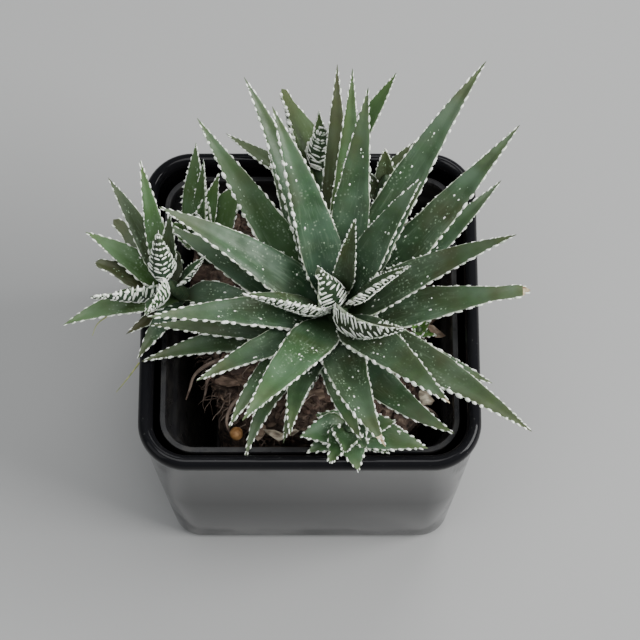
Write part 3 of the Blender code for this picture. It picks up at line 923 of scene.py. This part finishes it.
def add_bands(gathered, frames, leaf, fullness, rng):
    """Zebra bands: rows of pearls that run round the underside from margin to margin."""
    along, pitch = 0.06, BAND_PITCH / fullness
    while along < 0.95:
        lean = BAND_LEAN * rng.uniform(0.6, 1.4) / leaf.length
        turn = rng.uniform(0.14, 0.30)
        while turn < math.pi - 0.30:
            reach = rng.uniform(0.15, 0.27) * fullness
            middle = min(turn + reach, math.pi - 0.14 - reach / 2)
            spot = frame_at(frames, along + lean * math.sin(middle) + rng.uniform(-0.003, 0.003))
            place = on_leaf(spot, leaf, -math.cos(middle), lower_face)
            nearby = on_leaf(spot, leaf, -math.cos(middle + 0.08), lower_face)
            wide_way = (nearby - place).normalized()
            up = spot.tangent.cross(wide_way).normalized()
            long = min(BAND_LONGEST, 1.05 * reach * spot.half)
            thick = rng.uniform(0.00030, 0.00042) * (0.7 + 0.3 * fullness)
            ways = (wide_way * long, spot.tangent * thick, up * BAND_TALL)
            gathered.add_pearl(PEARL_BALL, place, ways)
            turn += 2 * reach + rng.uniform(0.0, 0.10) / fullness
        along += pitch * rng.uniform(0.85, 1.15) / leaf.length


def add_dots(gathered, frames, leaf, count, rng):
    """Small dots on the upper face in loose clusters, most of them on the inner half."""
    for index in range(count):
        if index % 5 == 0:
            middle, side = 0.10 + 0.62 * rng.random() ** 1.1, rng.uniform(-0.6, 0.6)
        at = frame_at(frames, middle + rng.gauss(0, 0.035))
        across = min(0.78, max(-0.78, side + rng.gauss(0, 0.20)))
        place = on_leaf(at, leaf, across, upper_face)
        size = rng.choice(DOT_SIZES) * rng.uniform(0.8, 1.2)
        slot = PEARL_SLOT if size > WHITE_DOT else DOT_SLOT
        long = size * rng.uniform(1.0, 1.9)
        ways = (at.tangent * long, at.side * size, at.up * (size * 0.5))
        gathered.add_pearl(DOT_BALL, place, ways, slot)


# %% [markdown]
# The finished leaf is one mesh with four finishes: skin, pearl, dry tip and pale dot. What
# the skin material reads goes into the mesh as attributes. A look says how one leaf differs:
# the size of its left and right pearls, its dots, its age from green to brown, how full its
# bands are, the pitch of its pearls, its dry end, how much fatter, fresher and more leaning
# it is than the plan.

# %% Build one leaf's mesh data
Look = namedtuple(
    "Look",
    "left right dots age bands pitch dry fat fresh lean",
    defaults=(1.0, 1.0, 12, 0.1, 1.0, 0.0031, 0, 1.0, 0.0, 0),
)


class LeafMesh:
    """Gathers blades and pearls, and writes them into one object."""

    def __init__(self):
        self.points, self.faces, self.slots, self.marks = [], [], [], []

    def add_blade(self, frames, leaf, look, root, rng):
        base, width = len(self.points), len(SECTION)
        heel = frames[0]._replace(centre=frames[0].centre - root * frames[0].tangent)
        frames = [heel] + frames
        rings = blade_rings(frames, leaf, rng)
        for at, ring in zip(frames, rings):
            for point, (across, _, under) in zip(ring, SECTION):
                self.points.append(point[:])
                self.marks.append((at.along, across, under, look.age, look.fresh))
        dried_from = len(rings) - 1 - look.dry
        for level in range(len(rings) - 1):
            for i in range(width):
                j = (i + 1) % width
                low, high = base + level * width, base + (level + 1) * width
                self.faces.append((low + i, low + j, high + j, high + i))
                self.slots.append(DRY_SLOT if level >= dried_from else SKIN_SLOT)
        ends = base, base + (len(rings) - 1) * width
        self.faces.append(tuple(ends[0] + i for i in reversed(range(width))))
        self.faces.append(tuple(ends[1] + i for i in range(width)))
        self.slots += [SKIN_SLOT, DRY_SLOT if look.dry or leaf.blunt else SKIN_SLOT]

    def add_pearl(self, ball, centre, ways, slot=PEARL_SLOT):
        """One ball at its place. The three ways are its half length, width and height."""
        base = len(self.points)
        points = ball[0] @ np.array([way[:] for way in ways]) + np.array(centre[:])
        self.points += [tuple(point) for point in points]
        self.faces += [tuple(index + base for index in face) for face in ball[1]]
        self.marks += [(0.5, 0.0, 0.0, 0.0, 0.0)] * len(points)
        self.slots += [slot] * len(ball[1])

    def piece(self, name):
        mesh = bpy.data.meshes.new(name)
        mesh.from_pydata(self.points, [], self.faces)
        mesh.polygons.foreach_set("material_index", self.slots)
        for column, label in enumerate(STORED):
            layer = mesh.attributes.new(label, "FLOAT", "POINT")
            layer.data.foreach_set("value", [mark[column] for mark in self.marks])
        return smooth_piece(name, mesh, (leaf_skin, pearl, dry_tip, pale_dot), 70)


ROOT_SHARE = 0.6


def fatten(at, fat):
    """Swell the middle of a leaf and leave its base and tip."""
    swell = 1 + (fat - 1) * math.sin(math.pi * min(1.0, at.along ** 0.7)) ** 0.6
    return at._replace(half=at.half * swell)


def grow_leaf(gathered, rosette, leaf, start, look, seed):
    rng = random.Random(seed)
    leaf = leaf._replace(roll=leaf.roll + look.lean)
    frames = [fatten(at, look.fat) for at in leaf_frames(rosette, leaf, start)]
    gathered.add_blade(frames, leaf, look, ROOT_SHARE * rosette.radius, rng)
    for edge, size in ((1, look.left), (-1, look.right)):
        add_margin(gathered, frames, leaf, edge, size, look.pitch, rng)
    add_bands(gathered, frames, leaf, look.bands, rng)
    add_dots(gathered, frames, leaf, look.dots, rng)

# %% [markdown]
# ## The mother
#
# The large rosette has 35 leaves. The oldest lie low and long, the youngest stand up in the
# middle. A rosette is its stem's foot, crown and radius, and then a row for each leaf: its
# azimuth, length, height, rise, droop, bend and width, and where it needs them its roll, cup
# and blunt tip. Here the lengths are in millimetres.

# %% The mother's leaves
def make_rosette(foot, crown, radius, *rows):
    leaves = [Leaf(row[0], *metres(row[1:3]), *row[3:]) for row in rows]
    print("leaves:", len(leaves))
    return Rosette(metres(foot), metres(crown), radius / 1000, leaves)


MOTHER = make_rosette(
    (8, -5.5, 78.5), (8, -5.5, 112.5), 3.6,
    (219, 47, 7.4, 24, -12, 38, 0.58),
    (237, 37, 10.5, 19, -2, 22, 0.56),
    (187, 56, 9.5, 24, -4, 12, 0.85),
    (340, 47, 8.5, 25, 3, -8, 0.80),
    (187, 53, 13.3, 23, 10, -4, 0.80),
    (266, 40, 12.8, 31, 12, 30, 0.80),
    (112, 62, 8.5, 34, 24, 0, 0.80),
    (91, 76, 12, 42, 35, -2, 0.85),
    (34, 62, 11.5, 27, 17, 9, 0.85),
    (298, 49, 11, 20, 16, 30, 0.90),
    (157, 56, 15.5, 27, 14, -6, 0.90),
    (214, 47, 15.1, 32, 2, 33, 0.70),
    (5, 56, 15.5, 32, 13, -5, 1.0, 0, 0.12, True),
    (238, 45, 17.5, 36, 17, 30, 0.78),
    (84, 75, 14.5, 49, 35, 4, 0.85),
    (213, 52, 20.3, 38, 23, 6, 0.85, 12),
    (110, 76, 20, 56, 27, 12, 0.90),
    (59, 84, 22.5, 47, 23, -9),
    (134, 71, 17.5, 44, 27, -7),
    (323, 72, 19.5, 38, 10, -5),
    (189, 58, 22, 43, 13, 4, 0.85),
    (36, 77, 18, 42, 27, 8),
    (157, 61, 24.5, 50, 18, 4),
    (273, 52, 22.5, 39, 16, 26, 1.05),
    (80, 68, 25, 58, 40),
    (12, 61, 24.2, 52, 28, -4, 0.90),
    (111, 64, 28.5, 64, 33, 5),
    (240, 57, 25.5, 48, 20, -2, 1.05),
    (306, 56, 26.5, 49, 21, 4, 1.05),
    (49, 50, 29.5, 66, 41, -8, 0.88),
    (198, 38, 30.8, 58, 44, -4, 0.70, 22, 0.25),
    (71, 32, 32.5, 75, 65, 0, 0.52, 0, 0.35),
    (2, 31, 34, 66, 50, 0, 0.62, -42, 0.3),
    (294, 31.5, 32.5, 54, 33, 62, 0.92, -62, 0.35),
    (325, 17.5, 34.5, 100, 128, 0, 0.62, 25, 0.7, True),
)

# %% [markdown]
# ## The left offset
#
# This offset leans out over the pot's left wall. Its inner leaves are still rolled up, so they
# show their banded undersides.

# %% The left offset's leaves
LEFT_PUP = make_rosette(
    (-31, 4, 78.5), (-42, 1.5, 111.5), 2.4,
    (216, 19, 16.5, 19, -4, 0, 0.42),
    (238, 22, 19, 25, -20, 0, 0.50),
    (197, 35, 20.2, 36, -10, 8, 0.72),
    (354, 22, 20.5, 26, -2, -8, 0.66),
    (132, 27, 20.7, 35, 10, 8, 0.60, 0, 0.12, True),
    (166, 23, 23.8, 33, 11, 3, 0.66, 0, 0.12, True),
    (121, 34, 28.6, 42, 19, 5, 0.58),
    (152, 28, 26.5, 38, 10, 2, 0.68),
    (206, 24, 28.2, 37, 20, -14, 0.48, 34, 0.12, True),
    (106, 36, 30.3, 54, 29, -4, 0.52),
    (18, 16, 28.5, 58, 57, 0, 0.42, -35, 0.3),
    (80, 22, 32.2, 66, 52, 4, 0.42, 0, 0.3),
    (256, 15, 32.5, 53, 22, -10, 0.48, 55, 0.35, True),
    (275, 21, 33.6, 96, 124, 0, 0.62, 0, 0.5),
)

# %% [markdown]
# ## The small offsets
#
# Four smaller offsets stand against the walls, and a seedling has come up at the right.

# %% The upper offset
UPPER_PUP = make_rosette(
    (-31, 21.5, 78.5), (-34.5, 24.5, 94), 2.4,
    (330, 12, 8, 46, 30, 0, 0.50),
    (160, 13, 8.5, 46, 34, 0, 0.46),
    (98, 31, 9.5, 50, 38, -13, 0.66, -35),
    (84, 26, 11, 56, 44, -2, 0.46, -50),
    (62, 22, 12, 56, 38, 4, 0.42, 35),
    (44, 23, 8.5, 44, 28, 14, 0.80),
    (70, 12, 14.8, 80, 96, 0, 0.44, 0, 0.5),
)

# %% The top and right offsets
TOP_PUP = make_rosette(
    (3, 31, 78.5), (3, 41, 109), 3,
    (159, 32, 18.5, 24, 3, -13, 0.50),
    (185, 12, 19, 40, 20, 0, 0.60),
    (350, 12, 19, 40, 15, 0, 0.60),
    (35, 44, 21, 52, 46, 14, 0.74),
    (122, 31, 23, 58, 40, 0, 0.92, 40, 0.12, True),
    (92, 22, 27, 75, 62, 0, 0.45),
    (256, 20, 29, 92, 116, 0, 0.76, 0, 0.4),
)
RIGHT_PUP = make_rosette(
    (19, 29, 78.5), (23, 38, 104), 2.4,
    (128, 10, 16, 40, 19, 0, 0.50),
    (34, 23, 17, 36, 10, 0, 0.42),
    (53, 17, 20, 46, 24, -5, 0.58),
    (92, 12, 22, 65, 50, 0, 0.48),
)

# %% The front offset and the seedling
FRONT_PUP = make_rosette(
    (11, -30, 78.5), (11.5, -39.5, 98.5), 2.4,
    (219, 14, 15, 22, -10, -10, 0.58),
    (320, 14, 15, 22, -10, 10, 0.52),
    (339, 24, 15.5, 27, -5, 4, 0.66),
    (164, 10, 15, 30, 10, 0, 0.50),
    (278, 14, 16, 32, -15, 6, 0.60),
    (196, 15, 16, 35, 0, 0, 0.66),
    (357, 14, 16, 36, 8, 8, 0.60),
    (244, 14, 16.5, 38, 10, 3, 0.58, 0, 0.4, True),
    (300, 11, 17.5, 46, 34, 0, 0.52, 0, 0.4, True),
    (262, 12, 18, 50, 36, 0, 0.60, 0, 0.4, True),
)
SEEDLING = make_rosette(
    (32, -3, 78.5), (32.5, -3.5, 85), 1.5,
    (336, 6, 4, 35, 20, 0, 0.28),
    (36, 5, 4.5, 40, 30, 0, 0.28),
    (275, 6, 5, 60, 50, 0, 0.26),
    (150, 5, 5.5, 62, 52, 0, 0.26),
)


# %% [markdown]
# ## How each leaf differs
#
# Leaves of one plant differ in how big their pearls are, how many dots they have and how old
# they are. Most take the usual look. The ones that stand out are listed by number, with the
# size of their left and right pearls seen from the stem, their dots and their age.

# %% Looks of the mother's leaves
USUAL = Look()
MOTHER_LOOKS = {
    1: Look(1.0, 1.0, 3, 0.15, pitch=0.0028),
    2: Look(1.0, 1.0, 12, 0.25),
    3: Look(1.5, 1.1, 4, 0.2),
    4: Look(1.1, 1.2, 2, 0.1),
    5: Look(1.4, 1.0, 2, 0.25),
    8: Look(1.1, 1.0, 6, 0.55),
    12: Look(1.3, 1.2, 8, 0.1),
    13: Look(1.0, 1.3, 10, 0.15, dry=1),
    14: Look(1.0, 1.9, 6),
    16: Look(1.6, 1.0, 6, 0.15),
    15: Look(fresh=0.15),
    17: Look(2.1, 1.1, 10, 0.2),
    18: Look(1.2, 1.1, 16),
    19: Look(2.5, 1.2, 26, fresh=0.12),
    20: Look(1.1, 2.2, 34, 0.35, pitch=0.0027),
    21: Look(1.6, 1.2, 22),
    22: Look(1.1, 1.2, 34),
    23: Look(1.3, 1.0, 18, 0.05),
    24: Look(1.2, 2.0, 60, 0.2, dry=2),
    26: Look(1.0, 1.1, 14, 0.25),
    27: Look(2.0, 1.2, 24, 0.0),
    28: Look(1.1, 1.5, 40, 0.05, fresh=0.1),
    29: Look(1.1, 2.1, 36, 0.2, dry=1),
    30: Look(1.0, 1.1, 20, 0.1),
    31: Look(1.6, 1.0, 16, 0.35, bands=1.5, fat=1.15, lean=18),
    32: Look(1.1, 1.0, 4, 0.3),
    33: Look(1.2, 1.4, 2, 0.3, bands=1.6),
    34: Look(1.0, 1.0, 3, 0.65, bands=1.7, fat=1.25),
    35: Look(1.0, 1.0, 0, 0.15, bands=1.7, fat=1.4),
}
LEFT_LOOKS = {
    1: Look(0.6, 0.6, 0, 0.9),
    3: Look(1.0, 1.0, 6, 0.2, fresh=0.2),
    5: Look(1.0, 1.0, 8, 0.5, fat=1.9),
    6: Look(1.0, 1.0, 4, 0.6, fat=1.4),
    7: Look(1.0, 1.0, 8, 0.4),
    8: Look(1.4, 1.1, 10, fresh=0.3),
    9: Look(1.3, 1.0, 1, 0.2, bands=1.6, fat=1.7, lean=40),
    10: Look(1.1, 1.2, 6, fresh=0.25),
    11: Look(1.0, 1.0, 2, bands=1.5),
    12: Look(1.0, 1.0, 10, 0.3),
    13: Look(1.2, 1.0, 0, bands=1.7, fat=1.6, fresh=0.2, lean=10),
    14: Look(1.0, 1.0, 0, 0.1, bands=1.5),
}
print("leaves with a look of their own:", len(MOTHER_LOOKS) + len(LEFT_LOOKS))

# %% [markdown]
# ## Grow the rosettes
#
# The mother and the left offset have a piece for each leaf, because each leaf is a solid of
# its own. The last leaf stands on the tip of its stem, and the others start at its side.

# %% Grow the large rosettes leaf by leaf
FIT_GAP = 0.0003


def grow_rosette(name, rosette, looks):
    points = 0
    for number, leaf in enumerate(rosette.leaves, start=1):
        start = 0.0 if leaf is rosette.leaves[-1] else rosette.radius + FIT_GAP
        gathered, look = LeafMesh(), looks.get(number, USUAL)
        grow_leaf(gathered, rosette, leaf, start, look, seed=number * 17 + len(name))
        points += len(gathered.points)
        blade = gathered.piece(f"{name}_blade_{number:02d}")
        settle(blade, "leaf_green", f"{name}_leaf_{number:02d}")
    print(name, "has", points, "points")


grow_rosette("mother", MOTHER, MOTHER_LOOKS)
grow_rosette("left_pup", LEFT_PUP, LEFT_LOOKS)

# %% [markdown]
# The small offsets are one solid each, so all their leaves go into one piece, with a short
# stem in the middle. Their leaves are young, and the pearls on them sit closer together.

# %% Grow the small offsets
STEM_SIDES = 20
STEM_PROFILE = ((0.0, 1.0), (0.15, 1.04), (0.5, 0.96), (0.8, 0.85), (0.93, 0.6), (0.985, 0.3))
STARTS_INSIDE = 0.3


def grow_stem(name, rosette, *nodes):
    foot, crown = Vector(rosette.foot), Vector(rosette.crown)
    foot.z = MIX_TOP + FIT_GAP
    round_it = [direction(360 * side / STEM_SIDES, 0) for side in range(STEM_SIDES)]
    rings = []
    for share, swell in STEM_PROFILE:
        centre = foot.lerp(crown, share)
        rings.append([centre + rosette.radius * swell * outward for outward in round_it])
    bm = bmesh.new()
    skin(bm, rings)
    settle(piece_from(bm, name, stem_skin, smooth_angle=60.0), "stem_green", *nodes)


def grow_offset(node, rosette, usual, looks=None):
    gathered, start = LeafMesh(), rosette.radius * STARTS_INSIDE
    for number, leaf in enumerate(rosette.leaves, start=1):
        look = (looks or {}).get(number, usual)
        grow_leaf(gathered, rosette, leaf, start, look, seed=number * 31 + len(node))
    settle(gathered.piece(f"{node}_leaves"), "leaf_green", node)
    grow_stem(f"{node}_short_stem", rosette)


grow_stem("mother_short_stem", MOTHER, "mother_stem")
grow_stem("left_pup_short_stem", LEFT_PUP, "left_pup_stem")
young = Look(dots=5, bands=1.2, pitch=0.0022)
brown = young._replace(left=1.3, right=1.3, age=0.35, dots=3, bands=1.5, fresh=0.15)
grow_offset("upper_pup", UPPER_PUP, young._replace(age=0.15, fresh=0.3, bands=1.6, fat=1.3))
top_looks = {
    1: brown._replace(age=0.6),
    4: young._replace(left=1.2, right=0.9, dots=22, age=0.12, fresh=0.36),
    5: brown._replace(left=2.2, age=0.5, fat=1.35, bands=1.9),
    7: brown._replace(bands=1.7),
}
grow_offset("top_pup", TOP_PUP, brown, top_looks)
grow_offset("right_pup", RIGHT_PUP, young._replace(age=0.5, bands=1.4))
full = young._replace(left=1.4, right=1.4, age=0.0, fresh=0.10, fat=1.3)
grow_offset("front_pup", FRONT_PUP, full)
grow_offset("seedling", SEEDLING, young._replace(age=0.0, dots=1, bands=0.6, fresh=0.9))

# %% [markdown]
# ## Stage, light and camera
#
# The plant stands on a plain pale floor. A wide soft light stands at its right, as a window
# would, so the leaves that lean to the left catch a sheen and the pot's shadow falls to the
# left. Weaker lights behind, above and at the left open the shadows, and so does a dim sky.

# %% Lay the floor
FLOOR_SIDE = 3.0
FLOOR_GREY = (0.31, 0.31, 0.305)
JUST_BELOW = 0.0002
bm = bmesh.new()
bmesh.ops.create_grid(bm, x_segments=1, y_segments=1, size=FLOOR_SIDE / 2)
floor = piece_from(bm, "pale_floor", new_material("pale_floor", FLOOR_GREY, 0.65)[0])
floor.location.z = -JUST_BELOW
floor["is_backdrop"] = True
print("floor side, m:", FLOOR_SIDE)

# %% Light it
PLANT_MIDDLE = Vector((0.0, 0.0, 0.10))


def soft_light(name, place, size, power):
    data = bpy.data.lights.new(name, "AREA")
    data.shape = "RECTANGLE"
    data.size, data.size_y = size
    data.energy = power
    lamp = placed(name, data)
    lamp.location = place
    lamp.rotation_euler = (PLANT_MIDDLE - Vector(place)).to_track_quat("-Z", "Y").to_euler()


soft_light("window", (1.00, -0.15, 0.85), (0.8, 0.8), 27.0)
soft_light("far_window", (0.35, 0.95, 1.00), (0.8, 0.5), 8.0)
soft_light("ceiling", (-0.10, -0.15, 1.45), (0.8, 0.8), 10.0)
soft_light("room_fill", (-0.95, -0.55, 0.75), (0.7, 0.9), 2.6)
world = bpy.data.worlds.new("soft_room")
world.use_nodes = True
sky = world.node_tree.nodes["Background"]
sky.inputs["Color"].default_value = (0.86, 0.93, 1.0, 1.0)
sky.inputs["Strength"].default_value = 0.30
bpy.context.scene.world = world

# %% [markdown]
# The camera looks steeply down from the front, from about as far as an arm is long. A long
# lens keeps the pot's walls from spreading.

# %% Place the camera
CAMERA_ELEVATION = 69.3
CAMERA_DISTANCE = 0.700
CAMERA_TARGET = Vector((0.0030, -0.0048, 0.0960))
LENS = 133.9
slope = math.radians(CAMERA_ELEVATION)
camera_data = bpy.data.cameras.new("camera")
camera_data.lens = LENS
camera_data.sensor_width = 36.0
camera = placed("camera", camera_data)
back = Vector((0.0, -math.cos(slope), math.sin(slope)))
camera.location = CAMERA_TARGET + back * CAMERA_DISTANCE
camera.rotation_euler = (-back).to_track_quat("-Z", "Y").to_euler()
bpy.context.scene.camera = camera
print("camera at", [round(v, 3) for v in camera.location])

# %% [markdown]
# ## Measure and finish
#
# We measure the box of the solids and the box of the fine pieces, and print how far apart
# their corners are.

# %% Compare the boxes
bpy.context.view_layer.update()
visual_box = [list(corner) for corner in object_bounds()]
for end, solid, fine in zip(("low", "high"), cad_box, visual_box):
    print(end, [round((b - a) * 1000, 1) for a, b in zip(solid, fine)], "mm apart")
